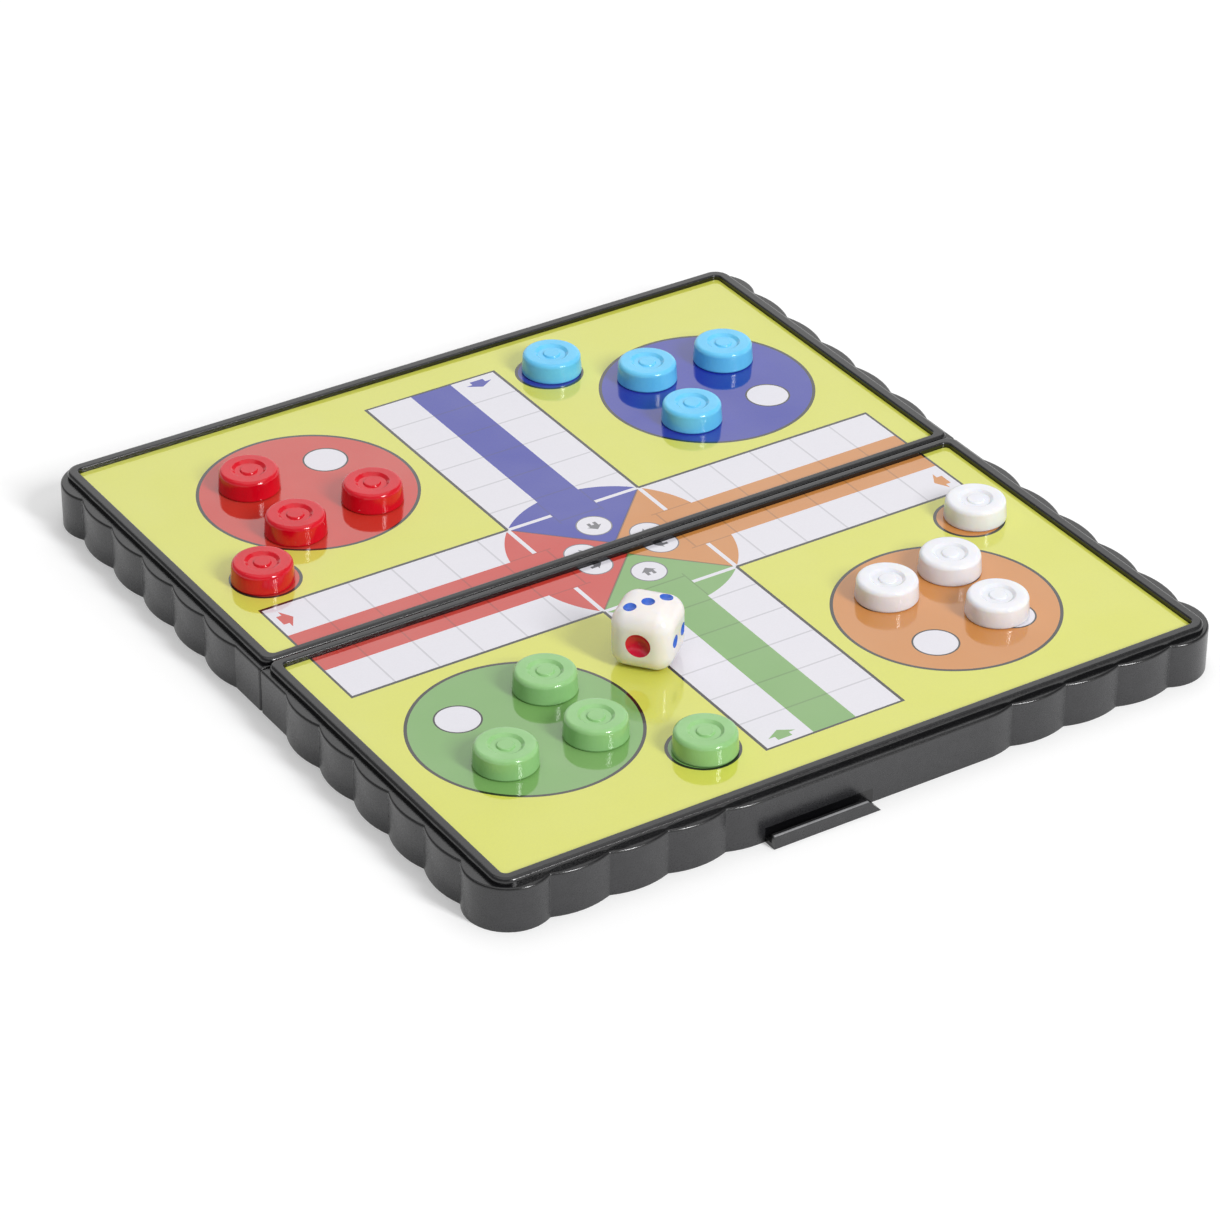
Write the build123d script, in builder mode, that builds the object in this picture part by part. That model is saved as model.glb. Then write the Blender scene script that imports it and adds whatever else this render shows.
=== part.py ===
from build123d import *
import os
from math import cos, radians, sin

# Folding ludo board box: two hollow tray halves joined by a film hinge, a steel plate and a printed
# sheet on each deck, four counters of each colour with a magnet in the underside, and one die.
# Millimetres. The fold line is the X axis; the near half lies at -Y, the far half at +Y, +Z is up.
# The open box stands on its rims at z = 0, and its playing faces look up.

# Recess for the printed sheet, in each half
recess_length = 157.2  # along the fold line
recess_width = 81.4  # away from the fold line
sheet_depth = 1.1  # from the bezel's top down to the sheet's face
recess_corner_radius = 1.2
recess_edge_radius = 0.4  # round the top of the recess

# Bezel: the raised frame round the recess
bezel_width = 2.35
fold_bezel_width = 2.0
bezel_height = 1.33  # above the ledge
bezel_corner_radius = 3.6  # the two corners away from the fold
bezel_fold_corner_radius = 2.2
bezel_edge_radius = 0.8  # round the outside of the bezel's top

# Ledge outside the bezel, measured to the hollows between the lobes of the wall
side_ledge_width = 1.35
end_ledge_width = 0.65
ledge_height = 9.58  # above the rim that the half stands on
ledge_edge_radius = 0.48

# Walls: convex lobes side by side, with a plain middle on the end wall
wall_thickness = 1.6
fold_wall_thickness = 2.6
deck_thickness = 1.3
lobe_height = 1.2
cusp_radius = 0.4  # in the bottom of the grooves between lobes
side_lobe_pitch = 12.88
end_lobe_pitch = 12.67
side_plain_length = 8.0  # least plain stretch beside the fold
corner_lobe_height = 6.6
corner_reach_along_side = 12.2
corner_reach_along_end = 11.7

# Fold: the hinge walls stand this far apart, and a film at the rim bridges them
fold_gap = 0.2
seam_edge_radius = 0.55
film_thickness = 0.4
film_leaf_width = 1.0
film_relief_height = 1.6
film_end_setback = 6.0

# Pull tab at the foot of each end wall, beside the middle
tab_start = 0.5  # from the middle of the wall
tab_length = 24.1
tab_reach = 3.0
tab_height = 3.0
tab_floor_thickness = 0.9
tab_lip_thickness = 0.9
tab_slant = 3.0  # how far the slanted end leans back over the tab's height
tab_lip_radius = 0.35  # round the outside of the lip's top
tab_root = 0.4  # how deep the tab is rooted in the wall

# Sheets on the deck
plate_thickness = 0.4
plate_edge_clearance = 0.3
sheet_thickness = 0.3
sheet_edge_clearance = 0.1

# Counters
counter_base_radius = 6.43
counter_top_radius = 6.1
counter_height = 4.4
counter_foot_radius = 0.45
counter_edge_radius = 0.9
dish_radius = 3.55
dish_depth = 0.5
dish_wall_slope = 0.65
dish_edge_radius = 0.25
boss_radius = 1.85
boss_height = 0.35
boss_wall_slope = 0.2
magnet_radius = 4.0
magnet_thickness = 2.0
magnet_radial_clearance = 0.05
magnet_setback = 0.1  # from the counter's foot up to the magnet

# Die
die_edge = 12.6
die_edge_radius = 3.5
die_turn = 309.2  # direction that the die's own +X side looks in, in degrees from +X
pip_radius = 1.3
pip_depth = 0.5
pip_spread = 2.8  # from the middle of a side out to its corner pips
pair_spread = 2.35
single_pip_radius = 2.5
single_pip_depth = 0.9

# Where the pieces stand. Each colour: its half, its side of that half (-1 for -X, +1 for +X), and for
# each counter the distances in from the recess's side edge and end edge
counter_places = {
    "red": ("far", -1, [(27.4, 23.2), (46.1, 40.8), (26.9, 43.3), (12.5, 55.7)]),
    "blue": ("far", 1, [(37.1, 28.9), (18.9, 30.5), (38.6, 48.3), (52.3, 15.1)]),
    "white": ("near", 1, [(44.2, 40.7), (28.1, 41.9), (29.4, 24.4), (11.6, 55.9)]),
    "green": ("near", -1, [(39.0, 48.6), (38.9, 30.4), (19.5, 31.1), (53.4, 15.2)]),
}
die_place = (61.45, 47.4)

# Planes of the two halves: local +Y points away from the fold line
halves = {
    "near": Plane((0, 0, 0), x_dir=(-1, 0, 0), z_dir=(0, 0, 1)),
    "far": Plane((0, 0, 0), x_dir=(1, 0, 0), z_dir=(0, 0, 1)),
}

# Levels
bezel_top = ledge_height + bezel_height
sheet_face = bezel_top - sheet_depth
deck_top = sheet_face - sheet_thickness - plate_thickness
deck_underside = deck_top - deck_thickness

# Distances from the fold line and from the middle of the fold line
fold_face_y = fold_gap / 2
recess_start_y = fold_face_y + fold_bezel_width
recess_end_y = recess_start_y + recess_width
bezel_end_y = recess_end_y + bezel_width
cusp_end_y = bezel_end_y + end_ledge_width
crown_end_y = cusp_end_y + lobe_height
bezel_side_x = recess_length / 2 + bezel_width
cusp_side_x = bezel_side_x + side_ledge_width
tab_end = tab_start + tab_length

# Lobes: as many as fit between the corner and the plain stretches
side_lobe_span = cusp_end_y - corner_reach_along_side - side_plain_length
side_lobe_count = int(side_lobe_span / side_lobe_pitch)
end_lobe_span = cusp_side_x - corner_reach_along_end - tab_end
end_lobe_count = int(end_lobe_span / end_lobe_pitch - 0.5)


def scalloped_face(inset, fold_y):
    """Face inside one half's walls, set in from the outside, starting at a distance from the fold."""
    side_x = cusp_side_x - inset
    end_y = cusp_end_y - inset
    side_cusp_y = cusp_end_y - corner_reach_along_side
    end_cusp_x = cusp_side_x - corner_reach_along_end
    last_end_cusp_x = end_cusp_x - end_lobe_count * end_lobe_pitch
    crown = (last_end_cusp_x - end_lobe_pitch / 2, end_y + lobe_height)
    corner_height = corner_lobe_height - inset * (1 - sin(radians(45)))
    with BuildSketch(mode=Mode.PRIVATE) as face:
        with BuildLine():
            Line((0, crown[1]), crown)
            TangentArc(crown, (last_end_cusp_x, end_y), tangent=(1, 0))
            for index in range(end_lobe_count):
                lobe_start_x = last_end_cusp_x + index * end_lobe_pitch
                SagittaArc((lobe_start_x, end_y), (lobe_start_x + end_lobe_pitch, end_y), lobe_height)
            SagittaArc((end_cusp_x, end_y), (side_x, side_cusp_y), corner_height)
            for index in range(side_lobe_count):
                lobe_start_y = side_cusp_y - index * side_lobe_pitch
                SagittaArc((side_x, lobe_start_y), (side_x, lobe_start_y - side_lobe_pitch), lobe_height)
            Line((side_x, side_cusp_y - side_lobe_count * side_lobe_pitch), (side_x, fold_y))
            Line((side_x, fold_y), (0, fold_y))
            mirror(about=Plane.YZ)
        make_face()
        off_fold = face.vertices().filter_by(lambda vertex: vertex.Y > fold_y + cusp_radius)
        on_side = off_fold.filter_by(lambda vertex: abs(abs(vertex.X) - side_x) < cusp_radius)
        on_end = off_fold.filter_by(lambda vertex: abs(vertex.Y - end_y) < cusp_radius)
        fillet(on_side + on_end, radius=cusp_radius)
    return face.sketch


def elevation_plane(half, y):
    """Upright plane across a half, looking back at the fold from a distance y away from it."""
    origin = half.from_local_coords((0, y, 0))
    return Plane(origin, x_dir=half.x_dir, z_dir=-half.y_dir)


def build_case(half):
    """One tray half with its bezel, hollow underside, film hinge leaf and pull tab."""
    with BuildPart() as case:
        # Block inside the scalloped outline, its two upright corners at the fold rounded
        with BuildSketch(half):
            add(scalloped_face(0, fold_face_y))
        extrude(amount=ledge_height)
        upright_edges = case.edges().filter_by(Axis.Z)
        fold_corners = upright_edges.sort_by(lambda edge: abs(edge.center().Y))[:2]
        fillet(fold_corners, radius=seam_edge_radius)
        ledge_edges = case.faces().sort_by(Axis.Z)[-1].edges()
        fold_edge = ledge_edges.sort_by(lambda edge: abs(edge.center().Y))[0]
        fillet(ledge_edges - ShapeList([fold_edge]), radius=ledge_edge_radius)

        # Bezel
        with BuildSketch(half.offset(ledge_height)) as bezel:
            with Locations((0, (fold_face_y + bezel_end_y) / 2)):
                Rectangle(2 * bezel_side_x, bezel_end_y - fold_face_y)
            fillet(bezel.vertices().group_by(Axis.Y)[0], radius=bezel_fold_corner_radius)
            fillet(bezel.vertices().group_by(Axis.Y)[-1], radius=bezel_corner_radius)
        extrude(amount=bezel_height)
        fillet(case.faces().sort_by(Axis.Z)[-1].edges(), radius=bezel_edge_radius)

        # Recess for the steel plate and the printed sheet
        with BuildSketch(half.offset(bezel_top)):
            with Locations((0, recess_start_y + recess_width / 2)):
                RectangleRounded(recess_length, recess_width, recess_corner_radius)
        extrude(amount=deck_top - bezel_top, mode=Mode.SUBTRACT)
        recess_rim = case.faces().filter_by(Plane.XY).sort_by(Axis.Z)[-1].inner_wires()[0].edges()
        fillet(recess_rim, radius=recess_edge_radius)

        # Hollow under the deck
        with BuildSketch(half):
            add(scalloped_face(wall_thickness, fold_face_y + fold_wall_thickness))
        extrude(amount=deck_underside, mode=Mode.SUBTRACT)

        # Film hinge leaf in its relief at the foot of the fold wall
        film_half_length = cusp_side_x - film_end_setback
        with BuildSketch(half):
            with Locations((0, film_leaf_width / 2)):
                Rectangle(2 * film_half_length, film_leaf_width)
        extrude(amount=film_relief_height, mode=Mode.SUBTRACT)
        with BuildSketch(half):
            with Locations((0, film_leaf_width / 2)):
                Rectangle(2 * film_half_length, film_leaf_width)
        extrude(amount=film_thickness)

        # Pull tab: a floor and an upright lip, with one slanted end
        with BuildSketch(elevation_plane(half, crown_end_y + tab_reach)):
            with BuildLine():
                Polyline(
                    (tab_start, 0),
                    (tab_end, 0),
                    (tab_end, tab_height),
                    (tab_start + tab_slant, tab_height),
                    close=True,
                )
            make_face()
        extrude(amount=tab_reach + tab_root)
        tab_edges = case.edges().filter_by(Axis.X).sort_by(lambda edge: abs(edge.center().Y))[-2:]
        fillet(tab_edges.sort_by(Axis.Z)[-1], radius=tab_lip_radius)
        channel_width = tab_reach - tab_lip_thickness
        with BuildSketch(half.offset(tab_floor_thickness)):
            with Locations(((tab_start + tab_end) / 2, crown_end_y + channel_width / 2)):
                Rectangle(tab_length, channel_width)
        extrude(amount=tab_height - tab_floor_thickness, mode=Mode.SUBTRACT)
    return case.part


def build_layer(half, level, thickness, edge_clearance):
    """Flat sheet in a half's recess, standing on a level."""
    with BuildPart() as layer:
        with BuildSketch(half.offset(level)):
            with Locations((0, recess_start_y + recess_width / 2)):
                length = recess_length - 2 * edge_clearance
                width = recess_width - 2 * edge_clearance
                RectangleRounded(length, width, recess_corner_radius - edge_clearance)
        extrude(amount=thickness)
    return layer.part


def board_position(half_name, side, place):
    """Point on a sheet's face, from its distances to the recess's side edge and end edge."""
    away = 1 if half_name == "far" else -1
    return (side * (recess_length / 2 - place[0]), away * (recess_end_y - place[1]), sheet_face)


def build_counter(position):
    """Draughts-like counter with a dished top, a middle boss and a magnet pocket below."""
    pocket_radius = magnet_radius + magnet_radial_clearance
    pocket_depth = magnet_setback + magnet_thickness
    dish_level = counter_height - dish_depth
    boss_level = dish_level + boss_height
    with BuildPart() as counter:
        with BuildSketch(Plane(position, x_dir=(1, 0, 0), z_dir=(0, -1, 0))) as profile:
            with BuildLine():
                Polyline(
                    (pocket_radius, 0),
                    (counter_base_radius, 0),
                    (counter_top_radius, counter_height),
                    (dish_radius, counter_height),
                    (dish_radius - dish_wall_slope, dish_level),
                    (boss_radius, dish_level),
                    (boss_radius - boss_wall_slope, boss_level),
                    (0, boss_level),
                    (0, pocket_depth),
                    (pocket_radius, pocket_depth),
                    close=True,
                )
            make_face()
            roundings = [
                ((counter_base_radius, 0), counter_foot_radius),
                ((counter_top_radius, counter_height), counter_edge_radius),
                ((dish_radius, counter_height), dish_edge_radius),
                ((boss_radius - boss_wall_slope, boss_level), dish_edge_radius),
            ]
            for point, radius in roundings:
                fillet(profile.vertices().sort_by_distance(point)[0], radius=radius)
        revolve(axis=Axis(position, (0, 0, 1)))
    return counter.part


def build_magnet(position):
    """Disc magnet against the roof of a counter's pocket."""
    with BuildPart() as magnet:
        with BuildSketch(Plane(position).offset(magnet_setback)):
            Circle(magnet_radius)
        extrude(amount=magnet_thickness)
    return magnet.part


def dish_pips(side_plane, points, radius, depth):
    """Sink a round dish of a radius and a depth at each point of one side of the die."""
    ball_radius = (radius**2 + depth**2) / (2 * depth)
    with Locations(side_plane):
        with Locations(*[(u, v, ball_radius - depth) for u, v in points]):
            Sphere(ball_radius, mode=Mode.SUBTRACT)


def build_die(position):
    """Rounded cube with dished pips; opposite sides add up to seven."""
    own_x = Vector(cos(radians(die_turn)), sin(radians(die_turn)), 0)
    own_z = Vector(0, 0, 1)
    own_y = own_z.cross(own_x)
    centre = Vector(*position) + own_z * (die_edge / 2)
    corner_pips = [(u * pip_spread, v * pip_spread) for u, v in [(-1, -1), (1, 1), (-1, 1), (1, -1)]]
    row_pips = [(-pip_spread, 0), (pip_spread, 0)]
    middle_pip = [(0, 0)]
    # Each side: the way it looks, the way its own u axis points, its pips
    sides = [
        (own_x, own_y, [(-pair_spread, 0), (pair_spread, 0)]),
        (-own_x, own_y, corner_pips + middle_pip),
        (own_y, own_x, corner_pips + row_pips),
        (own_z, own_x, corner_pips[:2] + middle_pip),
        (-own_z, own_x, corner_pips),
    ]
    with BuildPart() as die:
        with Locations(Plane(centre, x_dir=own_x, z_dir=own_z)):
            Box(die_edge, die_edge, die_edge)
        fillet(die.edges(), radius=die_edge_radius)
        for outward, along, points in sides:
            side_plane = Plane(centre + outward * (die_edge / 2), x_dir=along, z_dir=outward)
            dish_pips(side_plane, points, pip_radius, pip_depth)
        single_side = Plane(centre - own_y * (die_edge / 2), x_dir=own_x, z_dir=-own_y)
        dish_pips(single_side, middle_pip, single_pip_radius, single_pip_depth)
    return die.part


def save(part, name):
    """Label a finished piece and write its STEP file."""
    part.label = name
    export_step(part, f"parts/{name}.step")


os.makedirs("parts", exist_ok=True)

for half_name, half in halves.items():
    save(build_case(half), f"{half_name}_case")
    save(build_layer(half, deck_top, plate_thickness, plate_edge_clearance), f"{half_name}_steel_plate")
    sheet_level = deck_top + plate_thickness
    save(build_layer(half, sheet_level, sheet_thickness, sheet_edge_clearance), f"{half_name}_board_sheet")

for colour, (half_name, side, places) in counter_places.items():
    for number, place in enumerate(places, start=1):
        position = board_position(half_name, side, place)
        save(build_counter(position), f"{colour}_counter_{number}")
        save(build_magnet(position), f"{colour}_magnet_{number}")

save(build_die(board_position("near", -1, die_place)), "die")
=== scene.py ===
"""Folding ludo box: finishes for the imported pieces, a plain pale floor, soft lamps and a camera.

Metres. The open box lies flat with its fold along X, and the pull tab of the near half faces -Y.
"""

from math import cos, pi, radians, sin

import bmesh
import bpy
from mathutils import Matrix, Vector

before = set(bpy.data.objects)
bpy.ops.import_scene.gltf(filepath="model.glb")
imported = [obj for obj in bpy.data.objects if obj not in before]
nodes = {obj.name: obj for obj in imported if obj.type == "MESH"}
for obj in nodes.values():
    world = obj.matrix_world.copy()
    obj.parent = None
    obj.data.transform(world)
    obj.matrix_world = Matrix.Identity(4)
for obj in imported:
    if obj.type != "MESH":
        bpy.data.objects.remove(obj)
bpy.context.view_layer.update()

# The print is drawn on a grid whose unit is one square of the track, with (0, 0) at the board's
# middle. A pair that is called a span is its middle and its reach to either side.
square = 0.0104
print_gap = 0.23  # each half's print starts this far out from the fold
outline_half_width = 0.032

# Arms of the cross: the white track, the coloured lane along its middle and the rungs across it
track_half_width = 1.5
track_end = 6.945
track_side_span = ((track_half_width + track_end) / 2, (track_end - track_half_width) / 2)
lane_half_width = 0.466
lane_side_gap = 0.02
lane_side_half_width = 0.016
first_rung = 1.25
rung_pitch = 0.953
rung_half_width = 0.0196
rung_strength = 0.30
lane_rung_strength = 0.28

# Hub, where the four lanes meet
hub_radius = 2.12
hub_rung_margin = 0.1
seam_width = 0.028
seam_strength = 0.55
bar_span = (0.995, 0.495)
bar_half_width = 0.045
home_disc = (0, 0.748)
home_disc_radius = 0.335
home_ring_width = 0.025

# The little house in each home disc
house_half_width = 0.10
house_wall_span = (0.80, 0.07)
house_ridge = 0.60
house_roof_span = (0.67, 0.07)
house_roof_slope = 1.15
doorway_half_width = 0.03
doorway_span = (0.83, 0.045)

# Round yards with four places each, and the start spot beside each yard
yard_centre = (4.80, 4.035)
yard_radius = 2.165
yard_spot_offset = 0.885
yard_spot_radius = 0.42
yard_spot_ring_width = 0.035
start_spot = (2.439, 6.298)
start_spot_radius = 0.67

# Arrow on each arm's entry square
arrow_middle = 0.995  # off the middle line of its arm
arrow_tip = 6.51
arrow_slope = 1.74
arrow_head_span = (6.595, 0.085)
arrow_shaft_span = (6.73, 0.065)
arrow_shaft_half_width = 0.153

# Places on the case, in millimetres
polished_above = 9.1  # the satin walls end at this height
tab_span = (12.5, 12.15)  # along the wall, between the pull tab's ends
tab_channel = (87.5, 90.33)  # how far out the tab's channel and its lip's flat top reach
tab_channel_top = 3.1
painted_glint_above = 2.78  # the painted highlight on the top edge of the tab's lip starts at this height

# Die: its edge and place in metres, its turn in degrees and its paint in millimetres
die_edge = 0.0126
die_middle = (-0.01715, -0.0361, 0.01611)
die_turn = 309.2
pip_spread = 2.8
pair_spread = 2.35
pip_paint_radius = 1.33
single_pip_paint_radius = 2.52

# Studio, in metres
floor_half_length = 6
floor_drop = 0.00002  # keeps the floor clear of the half that folds under
backdrop_radius = 5.8
backdrop_height = 1.2
white_span = (0.2, 1.6)  # from here to here the floor's shadow tone fades into plain white


def ink(red, green, blue):
    """Colour for a socket, from the 0 to 255 values of a paint chart."""
    channels = []
    for level in (red, green, blue):
        part = level / 255
        channels.append(part / 12.92 if part <= 0.04045 else ((part + 0.055) / 1.055) ** 2.4)
    return (*channels, 1)


def feed(tree, socket, value):
    """Put a plain value in a socket, or join another node's output to it."""
    if isinstance(value, bpy.types.NodeSocket):
        tree.links.new(value, socket)
    else:
        socket.default_value = value


def calc(tree, operation, *values):
    node = tree.nodes.new("ShaderNodeMath")
    node.operation = operation
    for socket, value in zip(node.inputs, values):
        feed(tree, socket, value)
    return node.outputs[0]


def blend(tree, amount, first, second, way="MIX"):
    """Colour that goes from the first to the second as the amount goes from 0 to 1."""
    node = tree.nodes.new("ShaderNodeMix")
    node.data_type = "RGBA"
    node.blend_type = way
    feed(tree, node.inputs[0], amount)
    feed(tree, node.inputs[6], first)
    feed(tree, node.inputs[7], second)
    return node.outputs[2]


def choose(tree, second_one, first, second):
    """One number or the other, by a switch that is 0 or 1."""
    node = tree.nodes.new("ShaderNodeMix")
    node.data_type = "FLOAT"
    feed(tree, node.inputs[0], second_one)
    feed(tree, node.inputs[2], first)
    feed(tree, node.inputs[3], second)
    return node.outputs[0]


def both(tree, *masks):
    result = masks[0]
    for mask in masks[1:]:
        result = calc(tree, "MULTIPLY", result, mask)
    return result


def either(tree, *masks):
    result = masks[0]
    for mask in masks[1:]:
        result = calc(tree, "MAXIMUM", result, mask)
    return result


def near_to(tree, value, middle, reach):
    """1 where a value is within reach of the middle."""
    return calc(tree, "COMPARE", value, middle, reach)


def below(tree, value, limit):
    return calc(tree, "LESS_THAN", value, limit)


def above(tree, value, limit):
    return calc(tree, "GREATER_THAN", value, limit)


def opposite(tree, mask):
    """1 where a mask is 0, and 0 where it is 1."""
    return calc(tree, "SUBTRACT", 1.0, mask)


def away_from(tree, place, point):
    """Distance from a point."""
    node = tree.nodes.new("ShaderNodeVectorMath")
    node.operation = "DISTANCE"
    feed(tree, node.inputs[0], place)
    feed(tree, node.inputs[1], point)
    return node.outputs["Value"]


def joined(tree, across, along):
    node = tree.nodes.new("ShaderNodeCombineXYZ")
    feed(tree, node.inputs[0], across)
    feed(tree, node.inputs[1], along)
    return node.outputs[0]


def measured_from(tree, point, unit, turn=0.0):
    """The piece's own coordinates, counted from a point in a unit of length."""
    place = tree.nodes.new("ShaderNodeTexCoord")
    shift = tree.nodes.new("ShaderNodeMapping")
    shift.vector_type = "TEXTURE"
    shift.inputs["Location"].default_value = point
    shift.inputs["Rotation"].default_value = (0, 0, radians(turn))
    shift.inputs["Scale"].default_value = (unit, unit, unit)
    tree.links.new(place.outputs["Object"], shift.inputs["Vector"])
    return shift.outputs[0]


def mottle(tree, place, scale, detail=2.0, roughness=0.5):
    """Soft random patches between 0 and 1."""
    node = tree.nodes.new("ShaderNodeTexNoise")
    feed(tree, node.inputs["Vector"], place)
    node.inputs["Scale"].default_value = scale
    node.inputs["Detail"].default_value = detail
    node.inputs["Roughness"].default_value = roughness
    return node.outputs["Fac"]


def spread(tree, value, low, high, from_low=0.3, from_high=0.7):
    """Stretch a value's middle part to a new range."""
    node = tree.nodes.new("ShaderNodeMapRange")
    feed(tree, node.inputs["Value"], value)
    node.inputs["From Min"].default_value = from_low
    node.inputs["From Max"].default_value = from_high
    node.inputs["To Min"].default_value = low
    node.inputs["To Max"].default_value = high
    return node.outputs[0]


def relief(tree, shader, height, distance, strength=1.0):
    bump = tree.nodes.new("ShaderNodeBump")
    bump.inputs["Strength"].default_value = strength
    bump.inputs["Distance"].default_value = distance
    feed(tree, bump.inputs["Height"], height)
    tree.links.new(bump.outputs[0], shader.inputs["Normal"])


def new_finish(name, **settings):
    """Material with one shader whose plain settings are given by name."""
    finish = bpy.data.materials.new(name)
    finish.use_nodes = True
    tree = finish.node_tree
    shader = tree.nodes["Principled BSDF"]
    for setting, value in settings.items():
        shader.inputs[setting.replace("_", " ")].default_value = value
    return finish, tree, shader


def moulded_plastic(name, colour, shade, gloss, glow=0.0, glow_depth=0.0012, index=1.5):
    """Injection moulding: faint flow patches, a gloss that varies and a hair of ripple."""
    finish, tree, shader = new_finish(name, IOR=index)
    millimetres = measured_from(tree, (0, 0, 0), 0.001)
    flow = mottle(tree, millimetres, scale=0.16, detail=3)
    fine = mottle(tree, millimetres, scale=2.6, detail=4, roughness=0.6)
    mixed = blend(tree, spread(tree, flow, 0, 1), colour, shade)
    feed(tree, shader.inputs["Base Color"], mixed)
    feed(tree, shader.inputs["Roughness"], spread(tree, fine, *gloss))
    if glow:
        shader.inputs["Subsurface Weight"].default_value = glow
        shader.inputs["Subsurface Radius"].default_value = (1, 0.8, 0.6)
        shader.inputs["Subsurface Scale"].default_value = glow_depth
    relief(tree, shader, fine, distance=0.00002)
    return finish, tree, shader


def case_plastic():
    """Black moulding: polished rims, satin walls, a painted pale highlight on the pull tab's lip edge
    and painted shade in the tab's channel.
    """
    finish, tree, shader = moulded_plastic(
        "black_case_plastic", ink(12, 12, 14), ink(17, 17, 19), gloss=(0.16, 0.26), index=1.6
    )
    millimetres = measured_from(tree, (0, 0, 0), 0.001)
    split = tree.nodes.new("ShaderNodeSeparateXYZ")
    feed(tree, split.inputs[0], millimetres)
    height = split.outputs[2]
    out = calc(tree, "ABSOLUTE", split.outputs[1])
    along = calc(tree, "MULTIPLY", split.outputs[0], calc(tree, "SIGN", split.outputs[1]))

    at_tab = both(tree, near_to(tree, along, *tab_span), above(tree, out, tab_channel[0]))
    before_lip = below(tree, out, tab_channel[1])
    # Painted shade: the tab's channel keeps the bare black colour and polish of the rims instead of
    # the lighter satin of the walls
    painted_shade_channel = both(tree, at_tab, before_lip, below(tree, height, tab_channel_top))
    on_wall = both(tree, below(tree, height, polished_above), opposite(tree, painted_shade_channel))

    polish = shader.inputs["Roughness"].links[0].from_socket
    satin_roughness = calc(tree, "ADD", polish, 0.08)
    feed(tree, shader.inputs["Roughness"], choose(tree, on_wall, polish, satin_roughness))

    bare = shader.inputs["Base Color"].links[0].from_socket
    # This mottle sets the satin walls' random tone and also how strong the painted highlight on the
    # tab's lip is
    scuff_and_glint_mottle = mottle(tree, millimetres, scale=0.5, detail=4, roughness=0.65)
    satin = blend(tree, spread(tree, scuff_and_glint_mottle, 0, 1), ink(38, 38, 40), ink(46, 46, 48))
    colour = blend(tree, on_wall, bare, satin)
    # Painted highlight: a pale grey line, mottled in strength, along the top edge of the tab's lip
    on_lip = above(tree, out, tab_channel[1])
    lip_edge = both(tree, at_tab, on_lip, above(tree, height, painted_glint_above))
    painted_glint = calc(tree, "MULTIPLY", lip_edge, spread(tree, scuff_and_glint_mottle, 0.7, 1.0))
    feed(tree, shader.inputs["Base Color"], blend(tree, painted_glint, colour, ink(132, 132, 134)))
    return finish


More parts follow.
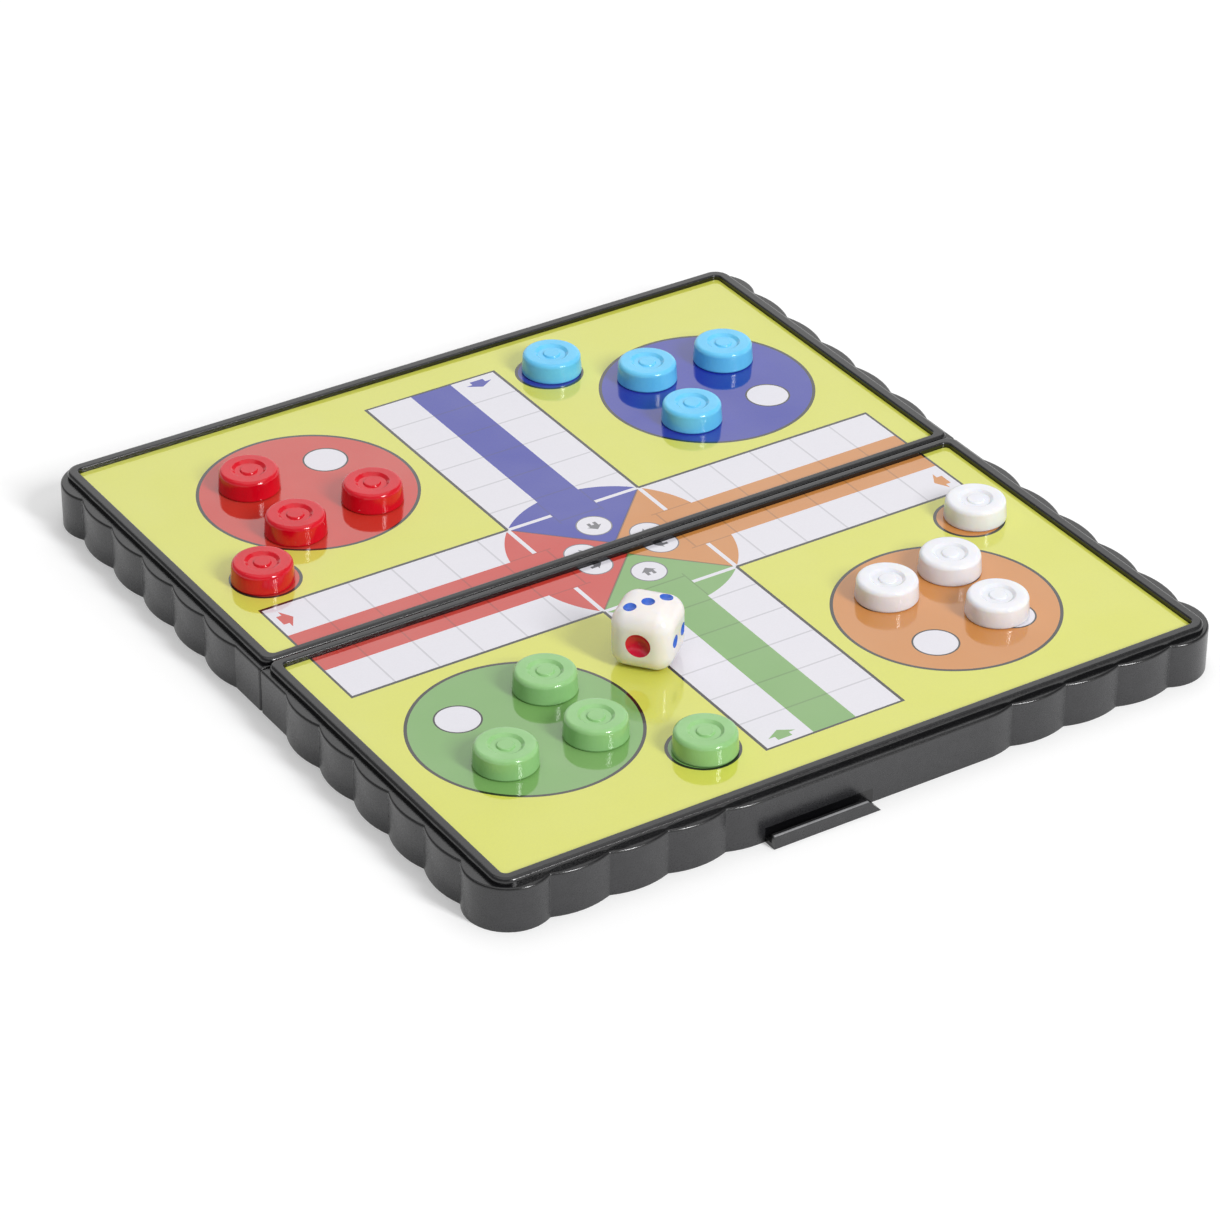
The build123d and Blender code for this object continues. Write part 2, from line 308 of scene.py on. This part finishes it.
def print_colours(tree, place):
    """The board's whole print, and the paper that it leaves white."""
    split = tree.nodes.new("ShaderNodeSeparateXYZ")
    feed(tree, split.inputs[0], place)
    u = split.outputs[0]
    side_v = calc(tree, "SIGN", split.outputs[1])
    size_v = calc(tree, "SUBTRACT", calc(tree, "ABSOLUTE", split.outputs[1]), print_gap)
    v = calc(tree, "MULTIPLY", side_v, size_v)
    side_u = calc(tree, "SIGN", u)
    size_u = calc(tree, "ABSOLUTE", u)

    # One arm of the cross stands for all four: off is to its side and out is along it
    sideways = above(tree, size_u, size_v)
    off_upright = calc(tree, "MULTIPLY", u, side_v)
    off_sideways = calc(tree, "MULTIPLY", v, calc(tree, "MULTIPLY", side_u, -1.0))
    off = choose(tree, sideways, off_upright, off_sideways)
    size_off = calc(tree, "ABSOLUTE", off)
    out = calc(tree, "MAXIMUM", size_u, size_v)
    arm = joined(tree, off, out)

    # One corner field stands for all four in the same way
    same_sign = above(tree, calc(tree, "MULTIPLY", side_u, side_v), 0.0)
    corner_across = choose(tree, same_sign, size_v, size_u)
    corner_along = choose(tree, same_sign, size_u, size_v)
    corner = joined(tree, corner_across, corner_along)

    right = above(tree, u, 0.0)
    far = above(tree, v, 0.0)
    far_colour = blend(tree, right, red_ink, blue_ink)
    near_colour = blend(tree, right, green_ink, orange_ink)
    corner_colour = blend(tree, far, near_colour, far_colour)
    upright_colour = blend(tree, far, green_ink, blue_ink)
    sideways_colour = blend(tree, right, red_ink, orange_ink)
    arm_colour = blend(tree, sideways, upright_colour, sideways_colour)

    colours = yellow_ink

    # Round yards with four places each, and the start spot beside each
    to_yard = away_from(tree, corner, (*yard_centre, 0))
    colours = blend(tree, below(tree, to_yard, yard_radius), colours, corner_colour)
    yard_line = near_to(tree, to_yard, yard_radius, outline_half_width)
    colours = blend(tree, yard_line, colours, outline_ink)
    quarter_across = calc(tree, "ABSOLUTE", calc(tree, "SUBTRACT", corner_across, yard_centre[0]))
    quarter_along = calc(tree, "ABSOLUTE", calc(tree, "SUBTRACT", corner_along, yard_centre[1]))
    quarter = joined(tree, quarter_across, quarter_along)
    to_spot = away_from(tree, quarter, (yard_spot_offset, yard_spot_offset, 0))
    spot_ring = below(tree, to_spot, yard_spot_radius + yard_spot_ring_width)
    colours = blend(tree, spot_ring, colours, outline_ink)
    colours = blend(tree, below(tree, to_spot, yard_spot_radius), colours, paper_white)
    to_start = away_from(tree, corner, (*start_spot, 0))
    colours = blend(tree, below(tree, to_start, start_spot_radius), colours, corner_colour)
    start_line = near_to(tree, to_start, start_spot_radius, outline_half_width)
    colours = blend(tree, start_line, colours, outline_ink)

    # White squares of the track, the coloured lane in its middle and the rungs between squares
    on_track = both(tree, below(tree, size_off, track_half_width), below(tree, out, track_end))
    colours = blend(tree, on_track, colours, paper_white)
    past_hub = above(tree, out, first_rung - hub_rung_margin)
    rung_count = calc(tree, "DIVIDE", calc(tree, "SUBTRACT", out, first_rung), rung_pitch)
    nearest_rung = calc(tree, "ROUND", rung_count)
    to_rung = calc(tree, "ABSOLUTE", calc(tree, "SUBTRACT", rung_count, nearest_rung))
    rung = both(tree, on_track, past_hub, below(tree, to_rung, rung_half_width / rung_pitch))
    colours = blend(tree, calc(tree, "MULTIPLY", rung, rung_strength), colours, grey_ink)
    lane = both(tree, below(tree, size_off, lane_half_width), below(tree, out, track_end))
    to_middle = away_from(tree, arm, (0, 0, 0))
    hub = both(tree, below(tree, to_middle, hub_radius), on_track)
    colours = blend(tree, either(tree, lane, hub), colours, arm_colour)
    lane_rung = both(tree, rung, below(tree, size_off, lane_half_width))
    at_lane_side = near_to(tree, size_off, lane_half_width + lane_side_gap, lane_side_half_width)
    lane_side = both(tree, hub, past_hub, at_lane_side)
    faint = calc(tree, "MULTIPLY", either(tree, lane_rung, lane_side), lane_rung_strength)
    colours = blend(tree, faint, colours, outline_ink)

    # Hub: seams between its four colours, white bars on its sides and a home disc in each part
    seam = both(
        tree,
        below(tree, out, track_half_width),
        below(tree, calc(tree, "SUBTRACT", out, size_off), seam_width),
    )
    colours = blend(tree, calc(tree, "MULTIPLY", seam, seam_strength), colours, outline_ink)
    bar = both(
        tree,
        near_to(tree, out, track_half_width, bar_half_width),
        near_to(tree, size_off, *bar_span),
    )
    colours = blend(tree, bar, colours, paper_white)
    to_home = away_from(tree, arm, (*home_disc, 0))
    home_ring = below(tree, to_home, home_disc_radius + home_ring_width)
    colours = blend(tree, home_ring, colours, grey_ink)
    colours = blend(tree, below(tree, to_home, home_disc_radius), colours, paper_white)
    colours = blend(tree, house_mark(tree, size_off, out), colours, grey_ink)

    colours = blend(tree, arrow_mark(tree, off, out), colours, arm_colour)

    # Dark line round the cross
    side_line = both(
        tree,
        near_to(tree, size_off, track_half_width, outline_half_width),
        near_to(tree, out, *track_side_span),
    )
    end_line = both(
        tree,
        near_to(tree, out, track_end, outline_half_width * 0.8),
        below(tree, size_off, track_half_width + outline_half_width),
    )
    return blend(tree, either(tree, side_line, end_line), colours, outline_ink)


def arrow_mark(tree, off, out):
    """Short arrow on an arm's entry square, which points to the middle of the board."""
    from_arrow = calc(tree, "ABSOLUTE", calc(tree, "SUBTRACT", off, arrow_middle))
    head_width = calc(tree, "MULTIPLY", calc(tree, "SUBTRACT", out, arrow_tip), arrow_slope)
    in_head = below(tree, from_arrow, head_width)
    in_shaft = below(tree, from_arrow, arrow_shaft_half_width)
    head = both(tree, in_head, near_to(tree, out, *arrow_head_span))
    shaft = both(tree, in_shaft, near_to(tree, out, *arrow_shaft_span))
    return either(tree, head, shaft)


def house_mark(tree, size_off, out):
    """A plain little house: walls and a pitched roof that points to the middle of the board."""
    in_walls = below(tree, size_off, house_half_width)
    walls = both(tree, in_walls, near_to(tree, out, *house_wall_span))
    roof_width = calc(tree, "MULTIPLY", calc(tree, "SUBTRACT", out, house_ridge), house_roof_slope)
    in_roof = below(tree, size_off, roof_width)
    roof = both(tree, in_roof, near_to(tree, out, *house_roof_span))
    in_doorway = below(tree, size_off, doorway_half_width)
    doorway = both(tree, in_doorway, near_to(tree, out, *doorway_span))
    return both(tree, either(tree, walls, roof), opposite(tree, doorway))


def printed_sheet():
    """Printed card under a clear glossy film that isn't quite flat."""
    finish, tree, shader = new_finish("printed_sheet", IOR=1.5, Coat_Weight=0.6)
    shader.inputs["Coat Roughness"].default_value = 0.05
    colours = print_colours(tree, measured_from(tree, (0, 0, 0), square))
    millimetres = measured_from(tree, (0, 0, 0), 0.001)
    fibre = mottle(tree, millimetres, scale=3.2, detail=3, roughness=0.6)
    patches = mottle(tree, millimetres, scale=0.05, detail=2)
    colours = blend(tree, spread(tree, fibre, 0.0, 0.05), colours, ink(120, 118, 112))
    colours = blend(tree, spread(tree, patches, 0.0, 0.035), colours, ink(255, 250, 235))
    feed(tree, shader.inputs["Base Color"], colours)
    feed(tree, shader.inputs["Roughness"], spread(tree, fibre, 0.045, 0.075))
    waves = mottle(tree, millimetres, scale=0.11, detail=1)
    sag = calc(tree, "ADD", waves, calc(tree, "MULTIPLY", fibre, 0.006))
    relief(tree, shader, sag, distance=0.00006)
    return finish


def painted_at(tree, local, pips, radius=pip_paint_radius):
    """1 inside any of a list of pips."""
    return either(tree, *[below(tree, away_from(tree, local, pip), radius) for pip in pips])


def die_plastic():
    """Ivory moulding with paint laid in the dished pips: red in the one and the four, else blue."""
    finish, tree, shader = moulded_plastic(
        "ivory_die_plastic",
        ink(241, 233, 231),
        ink(237, 228, 225),
        gloss=(0.12, 0.2),
        glow=1.0,
        glow_depth=0.009,
    )
    local = measured_from(tree, die_middle, 0.001, die_turn)
    half = die_edge / 2 * 1000
    corners = [(-1, -1), (1, 1), (-1, 1), (1, -1)]
    spots = [(a * pip_spread, b * pip_spread) for a, b in corners]
    row = [(-pip_spread, 0), (pip_spread, 0)]
    pair = [(half, a, 0) for a in (-pair_spread, pair_spread)]
    five = [(-half, a, b) for a, b in spots + [(0, 0)]]
    six = [(a, half, b) for a, b in spots + row]
    three = [(a, b, half) for a, b in spots[:2] + [(0, 0)]]
    four = [(a, b, -half) for a, b in spots]
    one = [(0, -half, 0)]
    blue_paint = painted_at(tree, local, pair + five + six + three)
    red_paint = either(
        tree,
        painted_at(tree, local, four),
        painted_at(tree, local, one, single_pip_paint_radius),
    )
    bare = shader.inputs["Base Color"].links[0].from_socket
    unpainted = opposite(tree, either(tree, blue_paint, red_paint))
    feed(tree, shader.inputs["Subsurface Weight"], unpainted)
    painted = blend(tree, blue_paint, bare, ink(48, 98, 200))
    painted = blend(tree, red_paint, painted, ink(205, 0, 50))
    feed(tree, shader.inputs["Base Color"], painted)
    return finish


def rolled_tinplate():
    """Thin steel plate with the fine straight grain that rolling leaves."""
    finish, tree, shader = new_finish("tinplate", Metallic=1.0, IOR=2.5)
    place = tree.nodes.new("ShaderNodeTexCoord")
    stretch = tree.nodes.new("ShaderNodeMapping")
    stretch.inputs["Scale"].default_value = (40, 4000, 4000)
    tree.links.new(place.outputs["Object"], stretch.inputs["Vector"])
    grain = mottle(tree, stretch.outputs[0], scale=1.0, detail=4, roughness=0.6)
    colour = blend(tree, spread(tree, grain, 0, 1), ink(176, 178, 182), ink(205, 206, 208))
    feed(tree, shader.inputs["Base Color"], colour)
    feed(tree, shader.inputs["Roughness"], spread(tree, grain, 0.28, 0.42))
    relief(tree, shader, grain, distance=0.000004)
    return finish


def pressed_ferrite():
    """Pressed and fired magnet powder: dark, matt and speckled."""
    finish, tree, shader = new_finish("ferrite_magnet", IOR=1.6)
    millimetres = measured_from(tree, (0, 0, 0), 0.001)
    powder = mottle(tree, millimetres, scale=7.0, detail=5, roughness=0.7)
    colour = blend(tree, spread(tree, powder, 0, 1), ink(44, 43, 44), ink(66, 64, 63))
    feed(tree, shader.inputs["Base Color"], colour)
    feed(tree, shader.inputs["Roughness"], spread(tree, powder, 0.5, 0.72))
    relief(tree, shader, powder, distance=0.00003)
    return finish


yellow_ink = ink(213, 215, 82)
red_ink = ink(200, 42, 26)
blue_ink = ink(10, 30, 160)
orange_ink = ink(204, 131, 53)
green_ink = ink(117, 167, 90)
paper_white = ink(223, 221, 229)
grey_ink = ink(105, 105, 112)
outline_ink = ink(6, 4, 0)

finishes = {
    "black_case_plastic": case_plastic(),
    "printed_sheet": printed_sheet(),
    "tinplate": rolled_tinplate(),
    "ferrite_magnet": pressed_ferrite(),
    "ivory_die_plastic": die_plastic(),
}

# Each colour of counter: its plastic's colour and shade, and how much and how deep it glows
counter_plastics = {
    "red": (ink(218, 8, 36), ink(208, 4, 30), 0.1, 0.0012),
    "blue": (ink(112, 208, 250), ink(102, 200, 245), 0.1, 0.0012),
    "white": (ink(238, 238, 243), ink(233, 233, 238), 0.6, 0.003),
    "green": (ink(152, 202, 136), ink(143, 195, 126), 0.1, 0.0012),
}
for colour_name, (colour, shade, glow, glow_depth) in counter_plastics.items():
    slot_name = f"{colour_name}_counter_plastic"
    finishes[slot_name] = moulded_plastic(
        slot_name, colour, shade, gloss=(0.09, 0.15), glow=glow, glow_depth=glow_depth
    )[0]

for node in nodes.values():
    slot_name = node.material_slots[0].material.name.split(".")[0]
    node.material_slots[0].material = finishes[slot_name]


def shown_white(name, colour, lift, far_lift):
    """Pale studio surface that keeps the object's shadow and shows white round it and far off."""
    finish, tree, shader = new_finish(name, Roughness=0.9)
    shader.inputs["Base Color"].default_value = colour
    shader.inputs["Specular IOR Level"].default_value = 0.0
    path = tree.nodes.new("ShaderNodeLightPath")
    rays = ("Camera", "Glossy", "Transmission")
    seen = either(tree, *[path.outputs[f"Is {ray} Ray"] for ray in rays])
    from_middle = away_from(tree, measured_from(tree, (0, 0, 0), 1.0), (0, 0, 0))
    level = spread(tree, from_middle, lift, far_lift, *white_span)
    lamp = tree.nodes.new("ShaderNodeEmission")
    feed(tree, lamp.inputs["Strength"], calc(tree, "MULTIPLY", seen, level))
    add = tree.nodes.new("ShaderNodeAddShader")
    tree.links.new(shader.outputs[0], add.inputs[0])
    tree.links.new(lamp.outputs[0], add.inputs[1])
    tree.links.new(add.outputs[0], tree.nodes["Material Output"].inputs["Surface"])
    return finish


def stage_piece(name, shape, finish):
    """Floor or backdrop: part of the studio, not of the object."""
    mesh = bpy.data.meshes.new(name)
    shape.to_mesh(mesh)
    shape.free()
    mesh.materials.append(finish)
    piece = bpy.data.objects.new(name, mesh)
    bpy.context.scene.collection.objects.link(piece)


def studio_floor():
    shape = bmesh.new()
    bmesh.ops.create_grid(
        shape,
        x_segments=1,
        y_segments=1,
        size=floor_half_length,
        matrix=Matrix.Translation((0, 0, -floor_drop)),
    )
    floor_white = shown_white("floor_white", ink(232, 232, 232), lift=0.24, far_lift=0.75)
    stage_piece("studio_floor", shape, floor_white)


def low_backdrop():
    """White band all round the floor's edge, for views from low down."""
    shape = bmesh.new()
    bmesh.ops.create_cone(
        shape,
        cap_ends=False,
        segments=64,
        radius1=backdrop_radius,
        radius2=backdrop_radius,
        depth=backdrop_height,
        matrix=Matrix.Translation((0, 0, backdrop_height / 2)),
    )
    band_white = shown_white("backdrop_white", ink(200, 200, 200), lift=0.85, far_lift=0.85)
    stage_piece("low_backdrop", shape, band_white)


def pointing(place, target):
    """Matrix of a lamp that stands at a place and looks at a target."""
    look = Vector(target) - Vector(place)
    return Matrix.Translation(place) @ look.to_track_quat("-Z", "Y").to_matrix().to_4x4()


def soft_lamp(name, bearing, height, distance, width, breadth, brightness):
    """Rectangular lamp that looks at the box. Bearing (from +X) and height are in degrees."""
    flat = cos(radians(height)) * distance
    place = (
        cos(radians(bearing)) * flat,
        sin(radians(bearing)) * flat,
        sin(radians(height)) * distance,
    )
    data = bpy.data.lights.new(name, "AREA")
    data.shape = "RECTANGLE"
    data.size = width
    data.size_y = breadth
    data.energy = brightness * width * breadth * pi
    lamp = bpy.data.objects.new(name, data)
    lamp.matrix_world = pointing(place, target=(0, 0, 0.01))
    bpy.context.scene.collection.objects.link(lamp)


def pale_world():
    """Even dim room round the lamps."""
    world = bpy.data.worlds.new("pale_world")
    bpy.context.scene.world = world
    world.use_nodes = True
    room = world.node_tree.nodes["Background"]
    room.inputs["Color"].default_value = (1, 1, 1, 1)
    room.inputs["Strength"].default_value = 0.33


studio_floor()
low_backdrop()
pale_world()
soft_lamp("key_lamp", -75, 35, distance=2.2, width=0.36, breadth=0.8, brightness=36)
soft_lamp("overhead_box", 0, 88, distance=1.8, width=2.0, breadth=2.0, brightness=0.85)
soft_lamp("back_panel", 62, 30, distance=1.5, width=1.5, breadth=1.0, brightness=0.95)

camera_data = bpy.data.cameras.new("camera")
camera_data.sensor_width = 36
camera_data.lens = 138.56
camera_data.clip_start = 0.05
camera_data.clip_end = 30
camera = bpy.data.objects.new("camera", camera_data)
camera.location = (-0.43212, -0.66887, 0.50213)
camera.rotation_euler = (radians(57.5195), radians(-0.2276), radians(-32.5611))
bpy.context.scene.collection.objects.link(camera)
bpy.context.scene.camera = camera

bpy.context.scene.view_settings.view_transform = "Standard"
